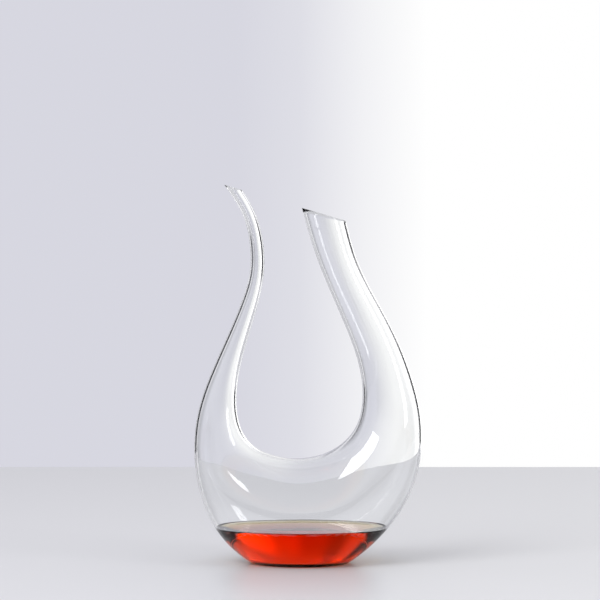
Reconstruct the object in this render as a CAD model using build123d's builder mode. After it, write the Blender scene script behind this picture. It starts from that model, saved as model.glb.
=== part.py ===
"""U-shaped wine decanter: one blown glass vessel with two open arms, and the wine standing in it.

The vessel is a long blown bubble, thick in the middle and tapering to both ends, bent into a U.
The narrow end is the pouring neck, the wide end is the filling arm, and one slanting cut opens both.

Frame: millimetres, origin at the centre of the foot on the table, +Z up, +X towards the filling arm.
The U lies in the XZ plane, which is also the vessel's plane of symmetry.
"""

import os

from build123d import *

# Driving dimensions
HEIGHT = 350.0  # table to the tip of the pouring neck
TIP_X = -70.2  # where the tip of the pouring neck stands
CUT_ANGLE = 16.6  # how far the common cut of both openings falls towards +X, in degrees
WALL = 2.0  # blown wall
FLOOR = 4.5  # glass under the wine, where the bubble was pressed flat
HEEL_RADIUS = 3.0  # outside, where the body meets the foot
FLOOR_RADIUS = 8.0  # inside, where the wall runs into the floor
LIP_RADIUS = 0.8  # fire-polished edges of both rims
PUNT_RADIUS = 27.0  # shallow hollow under the foot, so that the vessel stands on a ring
PUNT_DEPTH = 1.2
WINE_LEVEL = 32.0  # surface of the wine above the table
WINE_GAP = 0.05  # keeps the wine's solid just off the glass

# Ribs of the bubble, each a circle across it in a plane square to the XZ plane. A rib is given by its
# two ends: one on the inner curve of the U and one on the outer curve, as (x, z). The first and the
# last lie past the openings, where the cut takes them off.
RIBS = [
    ((-66.5, 362.5), (-75.5, 357.0)),
    ((-52.9, 343.8), (-62.1, 337.9)),
    ((-41.5, 323.1), (-51.8, 318.7)),
    ((-34.3, 294.8), (-46.5, 293.1)),
    ((-33.6, 271.0), (-46.3, 272.3)),
    ((-40.0, 237.4), (-54.3, 242.1)),
    ((-49.7, 204.5), (-67.3, 210.8)),
    ((-57.4, 173.0), (-81.3, 179.0)),
    ((-59.3, 146.0), (-91.8, 151.0)),
    ((-54.8, 124.0), (-98.0, 119.0)),
    ((-42.3, 107.5), (-95.0, 73.0)),
    ((-21.4, 98.5), (-65.6, 15.6)),
    ((1.4, 96.8), (12.8, -11.8)),
    ((22.5, 101.5), (74.0, 24.5)),
    ((40.5, 112.5), (104.6, 71.5)),
    ((54.4, 133.8), (112.0, 126.5)),
    ((57.3, 160.0), (104.3, 167.0)),
    ((50.5, 195.0), (87.5, 210.8)),
    ((35.5, 232.8), (68.1, 247.4)),
    ((20.5, 268.0), (52.2, 280.5)),
    ((9.2, 299.5), (43.8, 308.5)),
    ((-2.3, 342.5), (33.0, 351.5)),
]

RIM_PLANE = Plane(origin=(TIP_X, 0, HEIGHT), z_dir=Vector(0, 0, 1).rotate(Axis.Y, CUT_ANGLE))


def rib_plane(inner, outer):
    """The rib's plane: centred between its two ends, X across the bore and Z on along the bubble."""
    inner_end, outer_end = Vector(inner[0], 0, inner[1]), Vector(outer[0], 0, outer[1])
    across = outer_end - inner_end
    return Plane(
        origin=(inner_end + outer_end) / 2, x_dir=across, z_dir=across.cross(Vector(0, 1, 0))
    )


def rib_radius(inner, outer):
    """Half the distance between the rib's two ends."""
    return (Vector(*outer) - Vector(*inner)).length / 2


def bubble(inset):
    """The bent bubble as a solid, its surface inset from the outside of the glass."""
    with BuildPart() as body:
        for inner, outer in RIBS:
            with BuildSketch(rib_plane(inner, outer)):
                Circle(rib_radius(inner, outer) - inset)
        loft()
    return body.part


def cavity(inset):
    """The hollow of the vessel, down to the floor, with its rounded lower corner."""
    with BuildPart() as hollow:
        add(bubble(inset))
        split(bisect_by=Plane.XY.offset(FLOOR), keep=Keep.TOP)
        floor_edges = hollow.faces().sort_by(Axis.Z)[0].edges()
        fillet(floor_edges, FLOOR_RADIUS)
    return hollow.part


# Glass vessel
hollow = cavity(WALL)
with BuildPart() as vessel:
    add(bubble(0))
    split(bisect_by=Plane.XY, keep=Keep.TOP)
    split(bisect_by=RIM_PLANE, keep=Keep.BOTTOM)
    fillet(vessel.faces().sort_by(Axis.Z)[0].edges(), HEEL_RADIUS)
    add(hollow, mode=Mode.SUBTRACT)
    fillet(vessel.faces().filter_by(RIM_PLANE).edges(), LIP_RADIUS)
    with BuildSketch(Plane.XZ):
        with BuildLine():
            punt_dome = SagittaArc((-PUNT_RADIUS, 0), (PUNT_RADIUS, 0), PUNT_DEPTH)
            Line(punt_dome @ 1, punt_dome @ 0)
        make_face()
        split(bisect_by=Plane.YZ)
    revolve(mode=Mode.SUBTRACT)
vessel.part.label = "vessel"

# Wine standing in the vessel
with BuildPart() as wine:
    add(cavity(WALL + WINE_GAP))
    split(bisect_by=Plane.XY.offset(WINE_LEVEL), keep=Keep.BOTTOM)
wine.part.label = "wine"

os.makedirs("parts", exist_ok=True)
for piece in (vessel, wine):
    export_step(piece.part, f"parts/{piece.part.label}.step")
    print(piece.part.label, "volume, ml:", round(piece.part.volume / 1000, 1))
print("brimful capacity, ml:", round(split(hollow, bisect_by=RIM_PLANE, keep=Keep.BOTTOM).volume / 1000))
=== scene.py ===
"""Looks of the U-shaped wine decanter: the blown vessel and the wine in it, in metres, around the CAD frame.

The vessel and the wine are both cut from one shape, a bubble bent into a U. A point on the bubble is
given by `t`, its place along the bubble in metres, and `turn`, its angle round the bubble, where 0 is
the outer side of the U. An inset of 0 is the outside of the glass, and a larger one lies inside it.
"""

import math

import bmesh
import bpy
import numpy as np
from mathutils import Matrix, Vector


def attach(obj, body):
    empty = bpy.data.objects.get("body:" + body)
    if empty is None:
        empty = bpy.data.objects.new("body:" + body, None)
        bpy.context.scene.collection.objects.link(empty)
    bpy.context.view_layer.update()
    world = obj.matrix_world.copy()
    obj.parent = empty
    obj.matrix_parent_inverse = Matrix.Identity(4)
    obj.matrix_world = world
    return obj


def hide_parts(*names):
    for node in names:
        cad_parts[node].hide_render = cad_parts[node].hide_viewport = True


MM = 0.001

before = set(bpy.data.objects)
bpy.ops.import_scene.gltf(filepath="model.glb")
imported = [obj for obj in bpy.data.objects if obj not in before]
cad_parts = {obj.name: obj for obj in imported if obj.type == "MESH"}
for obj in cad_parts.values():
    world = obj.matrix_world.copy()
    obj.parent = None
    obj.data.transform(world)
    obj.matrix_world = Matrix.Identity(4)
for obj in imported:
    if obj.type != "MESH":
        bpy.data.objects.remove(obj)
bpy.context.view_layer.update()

# ---------------------------------------------------------------- dimensions
CUT_ANGLE = math.radians(16.6)  # fall of the common cut of both openings
TIP = np.array([-70.2, 0.0, 350.0]) * MM  # a point on that cut, at the tip of the pouring neck
WALL = 2.0 * MM
FLOOR = 4.5 * MM  # thickness of the glass under the wine
PUNT_RADIUS = 27 * MM  # of the shallow hollow under the foot
PUNT_DEPTH = 1.2 * MM
FLOOR_DOME = 0.6 * MM  # how far the floor bulges up over that hollow
HEEL_RISE = 0.8 * MM  # height at which the body starts to turn into the foot
FLOOR_RISE = 2.0 * MM  # the same inside, above the floor
TABLE_GAP = 0.05 * MM  # film of air between the foot and the table
LIP = 0.45 * MM  # how far short of the cut the walls end and the rounded lips start
LIP_HANDLE = 1.122 * LIP  # length of the handles of the curve that rounds a lip
RIPPLE = 0.07 * MM  # unevenness of the hand-blown wall on its inner side
OUTER_RIPPLE = 0.4 * RIPPLE

WINE_LEVEL = 32.0 * MM
MENISCUS = 1.5 * MM  # how far the wine climbs the glass
MENISCUS_REACH = 1.7 * MM  # distance from the glass over which most of that climb happens
SOAK = 0.35 * MM  # how far the wine's mesh reaches into the glass, so that no air shows between them

# Fineness of the meshes
TURNS = 128  # points round the bubble
RING_GAP = 3.2 * MM  # distance between rings along it
HALVINGS = 50  # steps in finding where a line crosses a height or the cut
SLANT_FROM = 0.7  # share of an arm's length at which its rings start to lean towards the cut
BOWL_ROWS = 16  # from the bowl's edge down to the heel
HEEL_ROWS = 6  # round the heel
RING_ROWS = 4  # across the ring that the foot stands on
PUNT_ROWS = 8  # across the hollow, from its edge to its middle
LIP_ROWS = 7  # round a lip
WINE_ROWS = 13  # from the wine's rim down to its heel
CALM_ROWS = 12  # across the wine's surface, inside the meniscus
MENISCUS_GAPS = [0.35, 0.6, 0.9, 1.3, 1.8, 2.5, 3.5, 5.0, 7.0]  # rings from the rim inwards, in millimetres

# Ends of the bubble's ribs, inner (x, z) and outer (x, z), in millimetres
RIBS = [
    ((-66.5, 362.5), (-75.5, 357.0)),
    ((-52.9, 343.8), (-62.1, 337.9)),
    ((-41.5, 323.1), (-51.8, 318.7)),
    ((-34.3, 294.8), (-46.5, 293.1)),
    ((-33.6, 271.0), (-46.3, 272.3)),
    ((-40.0, 237.4), (-54.3, 242.1)),
    ((-49.7, 204.5), (-67.3, 210.8)),
    ((-57.4, 173.0), (-81.3, 179.0)),
    ((-59.3, 146.0), (-91.8, 151.0)),
    ((-54.8, 124.0), (-98.0, 119.0)),
    ((-42.3, 107.5), (-95.0, 73.0)),
    ((-21.4, 98.5), (-65.6, 15.6)),
    ((1.4, 96.8), (12.8, -11.8)),
    ((22.5, 101.5), (74.0, 24.5)),
    ((40.5, 112.5), (104.6, 71.5)),
    ((54.4, 133.8), (112.0, 126.5)),
    ((57.3, 160.0), (104.3, 167.0)),
    ((50.5, 195.0), (87.5, 210.8)),
    ((35.5, 232.8), (68.1, 247.4)),
    ((20.5, 268.0), (52.2, 280.5)),
    ((9.2, 299.5), (43.8, 308.5)),
    ((-2.3, 342.5), (33.0, 351.5)),
]


# ---------------------------------------------------------------- the bubble
class Spline:
    """A natural cubic spline through rows of values at given places."""

    def __init__(self, at, values):
        self.at, self.values = at, values
        gap = np.diff(at)
        slope = np.diff(values, axis=0) / gap[:, None]
        count = len(at)
        system, right = np.eye(count), np.zeros_like(values)
        for i in range(1, count - 1):
            system[i, i - 1 : i + 2] = gap[i - 1], 2 * (gap[i - 1] + gap[i]), gap[i]
            right[i] = 6 * (slope[i] - slope[i - 1])
        self.bend = np.linalg.solve(system, right)

    def __call__(self, t):
        i = np.clip(np.searchsorted(self.at, t) - 1, 0, len(self.at) - 2)
        gap = (self.at[i + 1] - self.at[i])[..., None]
        b = (t[..., None] - self.at[i][..., None]) / gap
        a = 1 - b
        cubic = (a**3 - a) * self.bend[i] + (b**3 - b) * self.bend[i + 1]
        return a * self.values[i] + b * self.values[i + 1] + cubic * gap**2 / 6


RIB_ENDS = np.array([[*inner, *outer] for inner, outer in RIBS]) * MM
RIB_CENTRES = (RIB_ENDS[:, :2] + RIB_ENDS[:, 2:]) / 2
RIB_AT = np.concatenate([[0], np.cumsum(np.linalg.norm(np.diff(RIB_CENTRES, axis=0), axis=1))])
rib_ends = Spline(RIB_AT, RIB_ENDS)
FOOT_RIB = 12  # in the middle of the foot
NECK_RIB, ARM_RIB = 5, -5  # well below the cut, in the pouring neck and in the filling arm
CUT_NORMAL = np.array([math.sin(CUT_ANGLE), 0, math.cos(CUT_ANGLE)])
TURN_ANGLES = np.arange(TURNS) * 2 * math.pi / TURNS


def on_bubble(t, turn, inset):
    """Points of the bubble at `t` and `turn`, moved in by `inset`, as an array of x, y, z."""
    t, turn = np.broadcast_arrays(np.asarray(t, float), np.asarray(turn, float))
    ends = rib_ends(t)
    inner, outer = ends[..., :2], ends[..., 2:]
    centre, across = (inner + outer) / 2, (outer - inner) / 2
    radius = np.linalg.norm(across, axis=-1)
    reach = 1 - inset / radius
    x = centre[..., 0] + across[..., 0] * reach * np.cos(turn)
    y = radius * reach * np.sin(turn)
    z = centre[..., 1] + across[..., 1] * reach * np.cos(turn)
    return np.stack([x, y, z], axis=-1)


def crossing(low, high, height):
    """Where height(s) turns from negative at `low` to positive at `high`, by halving."""
    low, high = np.array(low, float), np.array(high, float)
    for _ in range(HALVINGS):
        middle = (low + high) / 2
        above = height(middle) > 0
        high, low = np.where(above, middle, high), np.where(above, low, middle)
    return (low + high) / 2


def uneven(points):
    """A slow unevenness between -1 and 1, different at each place."""
    x, y, z = (points[..., i] / MM for i in range(3))
    waves = np.sin(x / 11 + 1.3 * np.sin(z / 23)) * np.sin(z / 17 + 0.7)
    return (waves + np.sin(y / 13 - z / 29 + 2.1) * np.cos(x / 19)) / 2


# The part of the bubble that is remeshed around the foot is a rectangle in `t` and `turn`
LOW_T = RIB_AT[FOOT_RIB]
BOWL_STEPS = 26  # the rectangle reaches this many rings to each side of that rib
BOWL_SIDE = TURNS // 4  # the rectangle reaches this many points to each side of the bottom line
BOWL_T = LOW_T + np.array([-1, 1]) * BOWL_STEPS * RING_GAP


def bowl_edge():
    """The rectangle's edge as (t, turn), once round, starting at its first corner."""
    ts = np.linspace(BOWL_T[0], BOWL_T[1], 2 * BOWL_STEPS + 1)
    turns = np.linspace(-math.pi / 2, math.pi / 2, 2 * BOWL_SIDE + 1)
    first, last, edge = ts[0], ts[-1], []
    edge += [(first, turn) for turn in turns[:-1]]
    edge += [(t, turns[-1]) for t in ts[:-1]]
    edge += [(last, turn) for turn in turns[:0:-1]]
    edge += [(t, turns[0]) for t in ts[:0:-1]]
    return np.array(edge)


BOWL_EDGE = bowl_edge()


def on_ray(share, inset):
    """Points on the lines from the bottom of the bubble to its edge rectangle, `share` of the way out."""
    t = LOW_T + (BOWL_EDGE[:, 0] - LOW_T) * share
    return on_bubble(t, BOWL_EDGE[:, 1] * share, inset)


def share_at(height, inset):
    """How far out each of those lines reaches a height above the table."""
    count = len(BOWL_EDGE)
    return crossing(np.zeros(count), np.ones(count), lambda s: on_ray(s, inset)[:, 2] - height)


def unit(ways):
    """The same directions, each of length 1."""
    return ways / np.linalg.norm(ways, axis=1)[:, None]


def heel_rows(start, corner):
    """Rows round the heel from `start` to the flat, under the arc whose tangents meet at `corner`."""
    inward = unit((corner - start) * [1, 1, 0])
    end = corner + inward * np.linalg.norm(corner - start, axis=1)[:, None]
    shares = np.linspace(0, 1, HEEL_ROWS + 1)[1:]
    return [(1 - s) ** 2 * start + 2 * s * (1 - s) * corner + s**2 * end for s in shares]


def foot_rows(inset, ripple, plane, rise):
    """Rows round the bowl from its edge rectangle down to a flat of height `plane`.

    The ripple fades out on the way down.
    """
    start_share = share_at(plane + rise, inset)
    rows = []
    for s in np.linspace(0, 1, BOWL_ROWS + 1):
        share = 1 + (start_share - 1) * s
        flat = on_ray(share, inset)
        rows.append(on_ray(share, inset + ripple * (1 - s) * uneven(flat)))
    return rows + heel_rows(rows[-1], on_ray(share_at(plane, inset), inset))


def disc_rows(rim, plane, dome):
    """Rows from a rim to a circle of the hollow's size, and on under a dome; then the dome's top."""
    middle = np.array([0, 0, plane])
    angle = np.arctan2(rim[:, 1], rim[:, 0])
    circle = PUNT_RADIUS * np.stack([np.cos(angle), np.sin(angle), np.zeros_like(angle)], axis=1)
    rows = [rim + (middle + circle - rim) * s for s in np.linspace(0, 1, RING_ROWS + 1)[1:]]
    for s in np.linspace(1, 0, PUNT_ROWS + 1)[1:-1]:
        lift = dome * (1 + math.cos(math.pi * s)) / 2
        rows.append(middle + circle * s + np.array([0, 0, lift]))
    return rows, middle + np.array([0, 0, dome])


# ---------------------------------------------------------------- meshes
class Surface:
    """A mesh under construction. Its faces are turned outwards when it is built."""

    def __init__(self):
        self.points, self.faces = [], []

    def row(self, points):
        """Adds points and returns their numbers."""
        first = len(self.points)
        self.points.extend(map(tuple, points))
        return list(range(first, len(self.points)))

    def strips(self, rows):
        """Quads between closed rows of the same length, each joined to the next."""
        for one, two in zip(rows, rows[1:]):
            for i in range(len(one)):
                j = (i + 1) % len(one)
                self.faces.append((one[i], one[j], two[j], two[i]))

    def fan(self, rim, middle):
        """Triangles from a closed row to one point."""
        for i in range(len(rim)):
            self.faces.append((rim[i], rim[(i + 1) % len(rim)], middle))

    def build(self, name):
        """The finished piece, without loose points and with its seams closed."""
        mesh = bpy.data.meshes.new(name)
        mesh.from_pydata(self.points, [], self.faces)
        made = bmesh.new()
        made.from_mesh(mesh)
        bmesh.ops.delete(made, geom=[v for v in made.verts if not v.link_faces], context="VERTS")
        bmesh.ops.remove_doubles(made, verts=made.verts, dist=1e-6)
        bmesh.ops.recalc_face_normals(made, faces=made.faces)
        made.to_mesh(mesh)
        made.free()
        mesh.shade_smooth()
        piece = bpy.data.objects.new(name, mesh)
        bpy.context.collection.objects.link(piece)
        return piece


def end_of_wall(inset, near, far):
    """For each turn, the `t` between `near` and `far` at which the wall stops, just short of the cut."""

    def past_end(t):
        return (on_bubble(t, TURN_ANGLES, inset) - TIP) @ CUT_NORMAL + LIP

    return crossing(np.full(TURNS, near), np.full(TURNS, far), past_end)


def skin(surface, inset, ripple, plane, rise, dome):
    """One side of the glass, from lip to lip and down to the foot.

    Returns the last row of the neck and of the filling arm, and the last but one of each.
    """

    def ring(t):
        flat = on_bubble(t, TURN_ANGLES, inset)
        return surface.row(on_bubble(t, TURN_ANGLES, inset + ripple * uneven(flat)))

    def arm(start, stop_at):
        """Rings from a straight one at `start` to a slanting one at the wall's end."""
        count = round(abs(start - stop_at.mean()) / RING_GAP)
        rows = []
        for s in np.linspace(0, 1, count + 1)[1:]:
            straight = start + (stop_at.mean() - start) * s
            slant = (stop_at - stop_at.mean()) * max(0.0, (s - SLANT_FROM) / (1 - SLANT_FROM)) ** 2
            rows.append(ring(straight + slant))
        return rows

    bowl = [ring(t) for t in np.linspace(*BOWL_T, 2 * BOWL_STEPS + 1)]
    neck = arm(BOWL_T[0], end_of_wall(inset, RIB_AT[NECK_RIB], RIB_AT[0]))
    filling = arm(BOWL_T[1], end_of_wall(inset, RIB_AT[ARM_RIB], RIB_AT[-1]))
    surface.strips([bowl[0], *neck])
    surface.strips([bowl[-1], *filling])

    # the upper side of the bowl, between the two arms
    for one, two in zip(bowl, bowl[1:]):
        for i in range(BOWL_SIDE, TURNS - BOWL_SIDE):
            surface.faces.append((one[i], one[i + 1], two[i + 1], two[i]))

    # the lower side of the bowl and the foot
    rows = foot_rows(inset, ripple, plane, rise)
    flat_rows, middle = disc_rows(rows[-1], plane, dome)
    numbers = [surface.row(row) for row in rows + flat_rows]
    surface.strips(numbers)
    surface.fan(numbers[-1], surface.row([middle])[0])
    return neck[-1], filling[-1], neck[-2], filling[-2]


def lip(surface, outer, inner, before_outer, before_inner):
    """The fire-polished edge from the end of the outside to the end of the inside."""
    points = np.array(surface.points)
    start, end = points[outer], points[inner]
    one = start + unit(start - points[before_outer]) * LIP_HANDLE
    two = end + unit(end - points[before_inner]) * LIP_HANDLE
    rows = [outer]
    for s in np.linspace(0, 1, LIP_ROWS + 1)[1:-1]:
        curve = (1 - s) ** 3 * start + 3 * s * (1 - s) ** 2 * one
        rows.append(surface.row(curve + 3 * s**2 * (1 - s) * two + s**3 * end))
    surface.strips([*rows, inner])


def make_vessel():
    glass = Surface()
    outside = skin(glass, 0.0, OUTER_RIPPLE, 0.0, HEEL_RISE, PUNT_DEPTH)
    inside = skin(glass, WALL, RIPPLE, FLOOR, FLOOR_RISE, FLOOR_DOME)
    for end in (0, 1):
        lip(glass, outside[end], inside[end], outside[end + 2], inside[end + 2])
    return glass.build("decanter_glass")


def make_wine():
    """The wine's body, a hair into the glass, and its surface with the rim it draws up the wall."""
    wine = Surface()
    inset, bottom = WALL - SOAK, FLOOR - SOAK
    top_share = share_at(WINE_LEVEL + MENISCUS, inset)
    low_share = share_at(bottom + FLOOR_RISE, inset)
    shares = np.linspace(0, 1, WINE_ROWS + 1)
    rows = [on_ray(top_share + (low_share - top_share) * s, inset) for s in shares]
    rows += heel_rows(rows[-1], on_ray(share_at(bottom, inset), inset))
    flat_rows, middle = disc_rows(rows[-1], bottom, FLOOR_DOME)
    numbers = [wine.row(row) for row in rows + flat_rows]
    wine.strips(numbers)
    wine.fan(numbers[-1], wine.row([middle])[0])

    rim = rows[0]
    along = np.roll(rim, -1, axis=0) - np.roll(rim, 1, axis=0)
    inward = unit(np.stack([-along[:, 1], along[:, 0], np.zeros(len(rim))], axis=1))
    inward *= -np.sign((inward * rim).sum())

    def ring(gap):
        row = rim + inward * gap
        row[:, 2] = WINE_LEVEL + MENISCUS * math.exp(-max(0.0, gap - SOAK) / MENISCUS_REACH)
        return row

    rings = [ring(gap * MM) for gap in MENISCUS_GAPS]
    calm = np.array([0, 0, WINE_LEVEL])
    rings += [calm + (rings[-1] - calm) * s for s in np.linspace(1, 0, CALM_ROWS + 1)[1:-1]]
    numbers = [numbers[0]] + [wine.row(row) for row in rings]
    wine.strips(numbers)
    wine.fan(numbers[-1], wine.row([calm])[0])
    return wine.build("red_wine")


# ---------------------------------------------------------------- materials
GLASS_COLOUR = (0.985, 0.99, 0.99, 1)
GLASS_IOR = 1.52
LIP_CLARITY = 0.8  # the rest scatters light, or the rims would look black from above
WINE_IOR = 1.345
WINE_TINT = (0.984, 0.775, 0.0, 1)  # red passes, some green and no blue
WINE_DENSITY = 200.0


def new_material(name, colour, roughness):
    material = bpy.data.materials.new(name)
    material.use_nodes = True
    nodes, links = material.node_tree.nodes, material.node_tree.links
    shader = nodes["Principled BSDF"]
    shader.inputs["Base Color"].default_value = colour
    shader.inputs["Roughness"].default_value = roughness
    return material, nodes, links


def clear_material(name, colour, ior, mirror, clarity):
    """A smooth see-through material. With a mirror of 0 only grazing rays are reflected."""
    material, nodes, links = new_material(name, colour, 0.0)
    shader = nodes["Principled BSDF"]
    shader.inputs["IOR"].default_value = ior
    shader.inputs["Specular Tint"].default_value = (mirror, mirror, mirror, 1)
    shader.inputs["Transmission Weight"].default_value = clarity
    return material, nodes, links


def glass_material(name, mirror=1.0, clarity=1.0):
    return clear_material(name, GLASS_COLOUR, GLASS_IOR, mirror, clarity)[0]


def wine_material():
    """Wine that darkens with depth, from orange to deep red."""
    material, nodes, links = clear_material("red_wine", (1, 1, 1, 1), WINE_IOR, 0.0, 1.0)
    depth = nodes.new("ShaderNodeVolumeAbsorption")
    depth.inputs["Color"].default_value = WINE_TINT
    depth.inputs["Density"].default_value = WINE_DENSITY
    links.new(depth.outputs["Volume"], nodes["Material Output"].inputs["Volume"])
    return material


def glass_of(face):
    """Number of a face's glass: 0 clear, 1 wetted, 2 lip.

    The wetted glass lies below the wine's level on both sides. Inside, wine takes the mirror off glass.
    Outside, it is left off so that the pale table lays no grey veil over the wine.
    """
    if (np.array(face.center) - TIP) @ CUT_NORMAL > -LIP:
        return 2
    return int(face.center.z < WINE_LEVEL)


# ---------------------------------------------------------------- studio
TABLE_COLOUR = (0.60, 0.60, 0.62, 1)
TABLE_ROUGHNESS = 0.35
TABLE_REACH = 3.0  # to the left, to the right and towards the camera
TABLE_BACK = 0.87  # to its far edge
CAMERA_PLACE = (-0.0005, -2.38, 0.332)
CAMERA_DIP = math.radians(2.13)  # below level
CAMERA_LENS = 154.8  # focal length in millimetres, as Blender wants it
CAMERA_SENSOR = 36.0

# Colour of the studio's walls by azimuth in degrees, 0 behind the decanter and 90 to its right.
# Dark walls draw the thin dark lines along the edges of clear glass, and bright ones its white bands.
DARK = (0.02, 0.02, 0.024)
ROOM = (0.20, 0.20, 0.21)
GREY = (0.68, 0.68, 0.75)
WHITE = (1.0, 1.0, 1.0)
SHADE = (0.45, 0.45, 0.49)
PANEL = (0.9, 0.9, 0.95)
WINDOW = (1.9, 1.9, 1.9)
WALLS = [
    (-180, ROOM),
    (-122, ROOM),
    (-114, GREY),
    (-66, GREY),
    (-58, DARK),
    (-29, DARK),
    (-24, PANEL),
    (-19, PANEL),
    (-14, SHADE),
    (-11, SHADE),
    (-7.5, GREY),
    (-0.5, GREY),
    (2.5, WHITE),
    (7.5, WHITE),
    (12, WINDOW),
    (22, WINDOW),
    (26, DARK),
    (60, DARK),
    (70, ROOM),
    (180, ROOM),
]
# A direction's height runs from -1, straight down, to 1, straight up. The walls fade in over WALL_FOOT
# and out over WALL_TOP, and WALL_RISE moves their top up by azimuth.
WALL_FOOT = [(-0.15, 0), (-0.11, 1)]
WALL_TOP = [(0.16, 1), (0.34, 0)]
WALL_RISE = [(-65, 0), (-58, 0.3), (-14, 0.3), (-6, 0)]
# Beyond the walls there is pale floor below the horizon and ceiling above it
FAR_FLOOR = (0.64, 0.64, 0.67)
CEILING = (0.80, 0.80, 0.83)
BEYOND = [(-0.02, FAR_FLOOR), (0.02, CEILING)]


def scale_node(nodes, links, value, low, high):
    """`value` on a scale from 0 at `low` to 1 at `high`."""
    node = nodes.new("ShaderNodeMapRange")
    node.inputs["From Min"].default_value = low
    node.inputs["From Max"].default_value = high
    links.new(value, node.inputs["Value"])
    return node.outputs["Result"]


def math_node(nodes, links, operation, one, two):
    node = nodes.new("ShaderNodeMath")
    node.operation = operation
    links.new(one, node.inputs[0])
    links.new(two, node.inputs[1])
    return node.outputs[0]


def ramp_node(nodes, links, place, stops):
    """The colour at `place` on a ramp through stops of (position, colour)."""
    node = nodes.new("ShaderNodeValToRGB")
    elements = node.color_ramp.elements
    while len(elements) < len(stops):
        elements.new(0.5)
    for element, (position, colour) in zip(elements, stops):
        element.position = position
        element.color = (*colour, 1)
    links.new(place, node.inputs["Fac"])
    return node.outputs["Color"]


def grey(value):
    return value, value, value


def by_azimuth(stops):
    return [((degrees + 180) / 360, colour) for degrees, colour in stops]


def by_height(stops):
    return [((height + 1) / 2, colour) for height, colour in stops]


def make_world():
    """Walls of bright and dark panels by direction, with pale floor and ceiling beyond them."""
    world = bpy.data.worlds.new("studio")
    bpy.context.scene.world = world
    world.use_nodes = True
    nodes, links = world.node_tree.nodes, world.node_tree.links

    direction = nodes.new("ShaderNodeTexCoord")
    parts = nodes.new("ShaderNodeSeparateXYZ")
    links.new(direction.outputs["Generated"], parts.inputs[0])
    angle = math_node(nodes, links, "ARCTAN2", parts.outputs["X"], parts.outputs["Y"])
    azimuth = scale_node(nodes, links, angle, -math.pi, math.pi)
    height = scale_node(nodes, links, parts.outputs["Z"], -1.0, 1.0)
    walls = ramp_node(nodes, links, azimuth, by_azimuth(WALLS))
    beyond = ramp_node(nodes, links, height, by_height(BEYOND))

    # the scale for height is half as long as the heights themselves, so the rise is halved too
    rises = by_azimuth([(degrees, grey(rise / 2)) for degrees, rise in WALL_RISE])
    rise = ramp_node(nodes, links, azimuth, rises)
    lowered = math_node(nodes, links, "SUBTRACT", height, rise)
    foot = ramp_node(nodes, links, height, by_height([(z, grey(share)) for z, share in WALL_FOOT]))
    top = ramp_node(nodes, links, lowered, by_height([(z, grey(share)) for z, share in WALL_TOP]))

    blend = nodes.new("ShaderNodeMix")
    blend.data_type = "RGBA"
    links.new(math_node(nodes, links, "MULTIPLY", foot, top), blend.inputs["Factor"])
    links.new(beyond, blend.inputs[6])  # the colour at factor 0; its name is shared by other sockets
    links.new(walls, blend.inputs[7])  # the colour at factor 1
    links.new(blend.outputs[2], nodes["Background"].inputs["Color"])


def make_table():
    left, right, front, back = -TABLE_REACH, TABLE_REACH, -TABLE_REACH, TABLE_BACK
    corners = [(x, y, -TABLE_GAP) for x, y in ((left, front), (right, front), (right, back), (left, back))]
    mesh = bpy.data.meshes.new("table")
    mesh.from_pydata(corners, [], [(0, 1, 2, 3)])
    mesh.materials.append(new_material("pale_table", TABLE_COLOUR, TABLE_ROUGHNESS)[0])
    table = bpy.data.objects.new("table", mesh)
    bpy.context.collection.objects.link(table)


def area_light(name, place, aim, size, power):
    light = bpy.data.lights.new(name, "AREA")
    light.shape = "RECTANGLE"
    light.size, light.size_y = size
    light.energy = power
    lamp = bpy.data.objects.new(name, light)
    lamp.location = place
    lamp.rotation_mode = "QUATERNION"
    lamp.rotation_quaternion = (Vector(aim) - Vector(place)).to_track_quat("-Z", "Y")
    bpy.context.collection.objects.link(lamp)


def make_camera():
    data = bpy.data.cameras.new("camera")
    data.lens = CAMERA_LENS
    data.sensor_width = CAMERA_SENSOR
    camera = bpy.data.objects.new("camera", data)
    camera.location = CAMERA_PLACE
    camera.rotation_euler = (math.pi / 2 - CAMERA_DIP, 0, 0)
    bpy.context.collection.objects.link(camera)
    bpy.context.scene.camera = camera


# ---------------------------------------------------------------- the scene
vessel = make_vessel()
vessel.data.materials.append(glass_material("clear_glass"))
vessel.data.materials.append(glass_material("wetted_glass", mirror=0.0))
vessel.data.materials.append(glass_material("lip_glass", clarity=LIP_CLARITY))
for face in vessel.data.polygons:
    face.material_index = glass_of(face)
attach(vessel, "root")
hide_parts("vessel")

wine = make_wine()
wine.data.materials.append(wine_material())
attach(wine, "root")
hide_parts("wine")

make_table()
make_world()
area_light("key_softbox", place=(-1.2, -1.3, 1.9), aim=(0, 0, 0.1), size=(1.4, 1.4), power=37)
area_light("right_strip", place=(2.0, -1.05, 1.2), aim=(0, 0, 0.2), size=(0.55, 1.6), power=9.6)
bpy.context.scene.view_settings.view_transform = "Standard"
make_camera()
